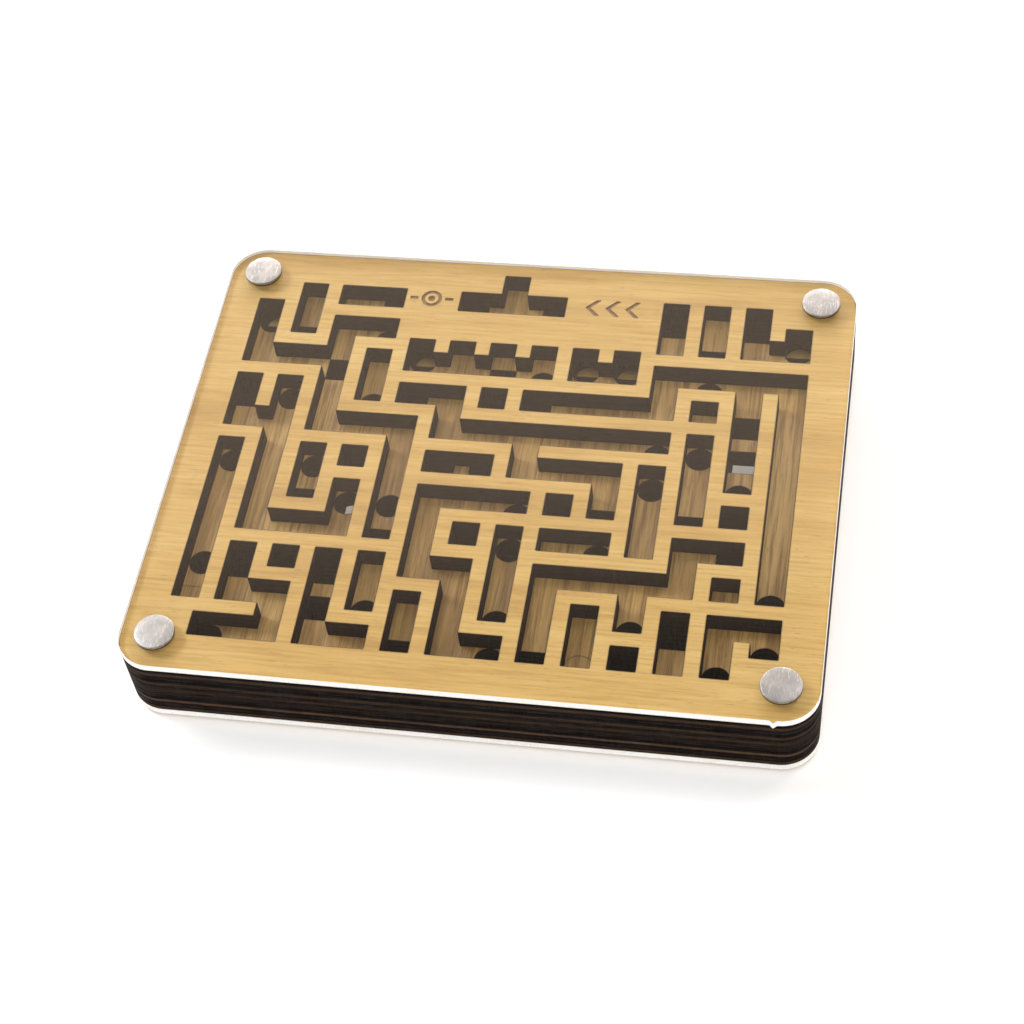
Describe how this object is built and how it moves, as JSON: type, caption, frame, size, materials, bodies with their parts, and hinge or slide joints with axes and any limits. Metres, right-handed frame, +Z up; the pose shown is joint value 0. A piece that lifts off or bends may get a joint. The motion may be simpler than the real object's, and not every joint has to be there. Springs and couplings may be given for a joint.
{
  "type": "two-level tilt maze game",
  "caption": "Hand-held ball maze of plywood sheets between clear covers, held by corner posts; tilting rolls a steel ball through passages and drop holes.",
  "frame": {"origin": "centre of the footprint, on the surface that the screw heads stand on", "axes": "+X along the long side to the player's right, +Y away from the player, +Z up"},
  "size_m": [0.1474, 0.1203, 0.021],
  "materials": {
    "clear_acrylic": "polished clear acrylic with a bright laser-cut edge",
    "maze_plywood": "light veneer, grain along X, charred laser-cut edges",
    "divider_plywood": "brown veneer, grain along Y, charred laser-cut edges",
    "nickel": "satin nickel plate",
    "ball_steel": "polished steel"
  },
  "bodies": {
    "stack": {"top_cover": "clear_acrylic", "upper_maze_plate": "maze_plywood", "divider_plate": "divider_plywood", "lower_maze_plate": "maze_plywood", "bottom_cover": "clear_acrylic", "post_front_left": "nickel", "post_front_right": "nickel", "post_back_left": "nickel", "post_back_right": "nickel", "post_screw_front_left": "nickel", "post_screw_front_right": "nickel", "post_screw_back_left": "nickel", "post_screw_back_right": "nickel"},
    "ball": {"steel_ball": "ball_steel"}
  },
  "joints": [
    {"name": "ball_roll", "type": "slide", "parent": "stack", "child": "ball", "axis": [0, 1, 0], "range_m": [-0.0424, 0.0424]}
  ]
}
